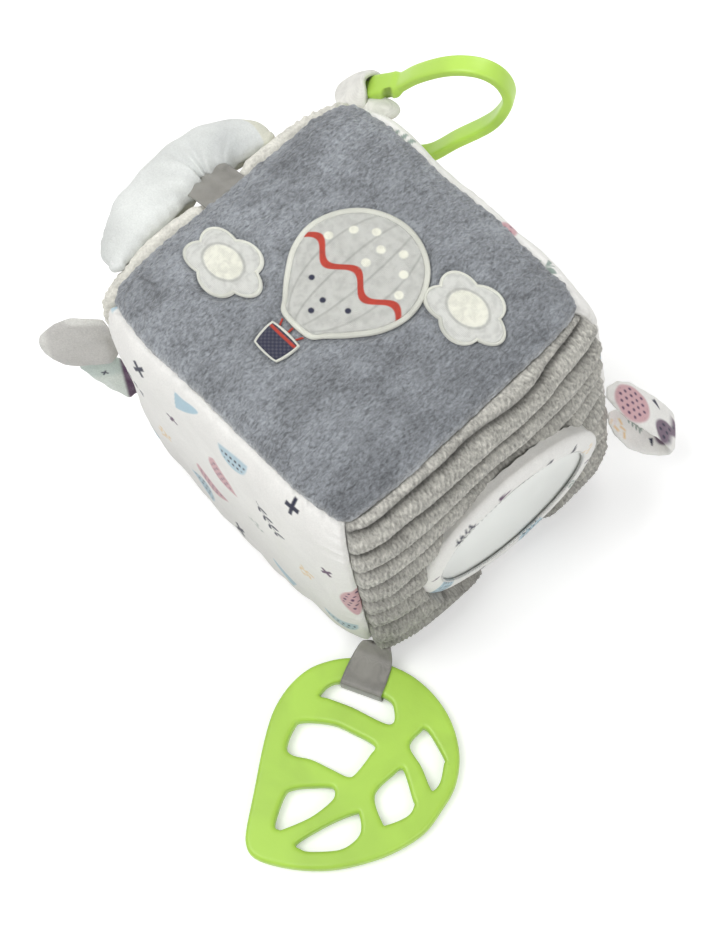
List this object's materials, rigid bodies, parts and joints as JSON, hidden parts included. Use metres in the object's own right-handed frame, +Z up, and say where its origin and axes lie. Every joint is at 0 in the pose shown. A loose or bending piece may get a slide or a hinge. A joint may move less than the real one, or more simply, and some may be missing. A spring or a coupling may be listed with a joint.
{
  "type": "soft fabric block",
  "caption": "Soft baby activity block with plush, ribbed and printed faces, round mirror, moon flap, corner tags, hanging ring and leaf teether.",
  "frame": {"origin": "centre of the block's flat base, where it stands on the floor", "axes": "+Z up towards the grey plush face with the applique, +X towards the ribbed face with the mirror, -Y towards the printed front face, -X towards the textured face with the moon"},
  "size_m": [0.2054, 0.2231, 0.1339],
  "materials": {
    "back_print_panel": "matte",
    "balloon_patch": "matte",
    "balloon_stitch_border": "matte",
    "base_panel": "matte",
    "basket_patch": "matte",
    "cloud_patch_left": "matte",
    "cloud_patch_right": "matte",
    "core_wadding": "matte",
    "crinkle_film": "satin",
    "flap_lower_leaf": "matte",
    "flap_upper_leaf": "matte",
    "front_print_panel": "matte",
    "hanging_ring": "satin",
    "hanging_tab": "matte",
    "mirror_backing_board": "matte",
    "mirror_disc": "polished",
    "mirror_frame": "matte",
    "moon_back_shell": "matte",
    "moon_filling": "matte",
    "moon_front_shell": "matte",
    "moon_ribbon": "satin",
    "print_loop": "matte",
    "rattle_ball_1": "satin",
    "rattle_ball_2": "satin",
    "rattle_ball_3": "satin",
    "rattle_cup_lower": "satin",
    "rattle_cup_upper": "satin",
    "ribbed_side_panel": "matte",
    "teether_leaf": "satin",
    "teether_ribbon": "satin",
    "textured_side_panel": "matte",
    "top_plush_panel": "matte",
    "wadding_plug": "matte"
  },
  "bodies": {
    "block": {"back_print_panel": "back_print_panel", "balloon_patch": "balloon_patch", "balloon_stitch_border": "balloon_stitch_border", "base_panel": "base_panel", "basket_patch": "basket_patch", "cloud_patch_left": "cloud_patch_left", "cloud_patch_right": "cloud_patch_right", "core_wadding": "core_wadding", "crinkle_film": "crinkle_film", "front_print_panel": "front_print_panel", "mirror_backing_board": "mirror_backing_board", "mirror_disc": "mirror_disc", "mirror_frame": "mirror_frame", "rattle_cup_lower": "rattle_cup_lower", "rattle_cup_upper": "rattle_cup_upper", "ribbed_side_panel": "ribbed_side_panel", "textured_side_panel": "textured_side_panel", "top_plush_panel": "top_plush_panel", "wadding_plug": "wadding_plug"},
    "tab": {"hanging_tab": "hanging_tab"},
    "ring": {"hanging_ring": "hanging_ring"},
    "ribbon": {"teether_ribbon": "teether_ribbon"},
    "leaf": {"teether_leaf": "teether_leaf"},
    "moon": {"moon_ribbon": "moon_ribbon", "moon_front_shell": "moon_front_shell", "moon_back_shell": "moon_back_shell", "moon_filling": "moon_filling"},
    "flap_upper": {"flap_upper_leaf": "flap_upper_leaf"},
    "flap_lower": {"flap_lower_leaf": "flap_lower_leaf"},
    "loop": {"print_loop": "print_loop"},
    "ball_1": {"rattle_ball_1": "rattle_ball_1"},
    "ball_2": {"rattle_ball_2": "rattle_ball_2"},
    "ball_3": {"rattle_ball_3": "rattle_ball_3"}
  },
  "joints": [
    {"name": "tab_fold", "type": "hinge", "parent": "block", "child": "tab", "pos_m": [-0.05675, 0.05278, 0.105], "axis": [0.7071, 0.7071, 0], "range_deg": [0, 60]},
    {"name": "ring_swing", "type": "hinge", "parent": "tab", "child": "ring", "pos_m": [-0.06114, 0.06112, 0.1014], "axis": [0.5824, 0.383, 0.717], "range_deg": [0, 90]},
    {"name": "ribbon_fold", "type": "hinge", "parent": "block", "child": "ribbon", "pos_m": [0.05432, -0.05207, 0.00892], "axis": [-0.7071, -0.7071, 0], "range_deg": [0, 45]},
    {"name": "leaf_tilt", "type": "hinge", "parent": "ribbon", "child": "leaf", "pos_m": [0.06005, -0.06087, 0.0034], "axis": [-0.9063, -0.4226, 0], "range_deg": [0, 30], "deforming": ["teether_ribbon"]},
    {"name": "moon_swing", "type": "hinge", "parent": "block", "child": "moon", "pos_m": [-0.05914, -0.00144, 0.11673], "axis": [0, 1, 0], "range_deg": [0, 120]},
    {"name": "flap_upper_swing", "type": "hinge", "parent": "block", "child": "flap_upper", "pos_m": [-0.05935, -0.05532, 0.0845], "axis": [0, 0, 1], "range_deg": [-35, 35]},
    {"name": "flap_lower_swing", "type": "hinge", "parent": "block", "child": "flap_lower", "pos_m": [-0.05838, -0.05448, 0.05549], "axis": [0, 0, 1], "range_deg": [-35, 35]},
    {"name": "loop_swing", "type": "hinge", "parent": "block", "child": "loop", "pos_m": [0.05891, 0.05608, 0.0428], "axis": [0, 0, 1], "range_deg": [-20, 20]},
    {"name": "ball_1_rattle", "type": "slide", "parent": "block", "child": "ball_1", "axis": [0, 0, 1], "range_m": [0, 0.012]},
    {"name": "ball_2_rattle", "type": "slide", "parent": "block", "child": "ball_2", "axis": [0, 0, 1], "range_m": [0, 0.012]},
    {"name": "ball_3_rattle", "type": "slide", "parent": "block", "child": "ball_3", "axis": [0, 0, 1], "range_m": [0, 0.012]}
  ]
}
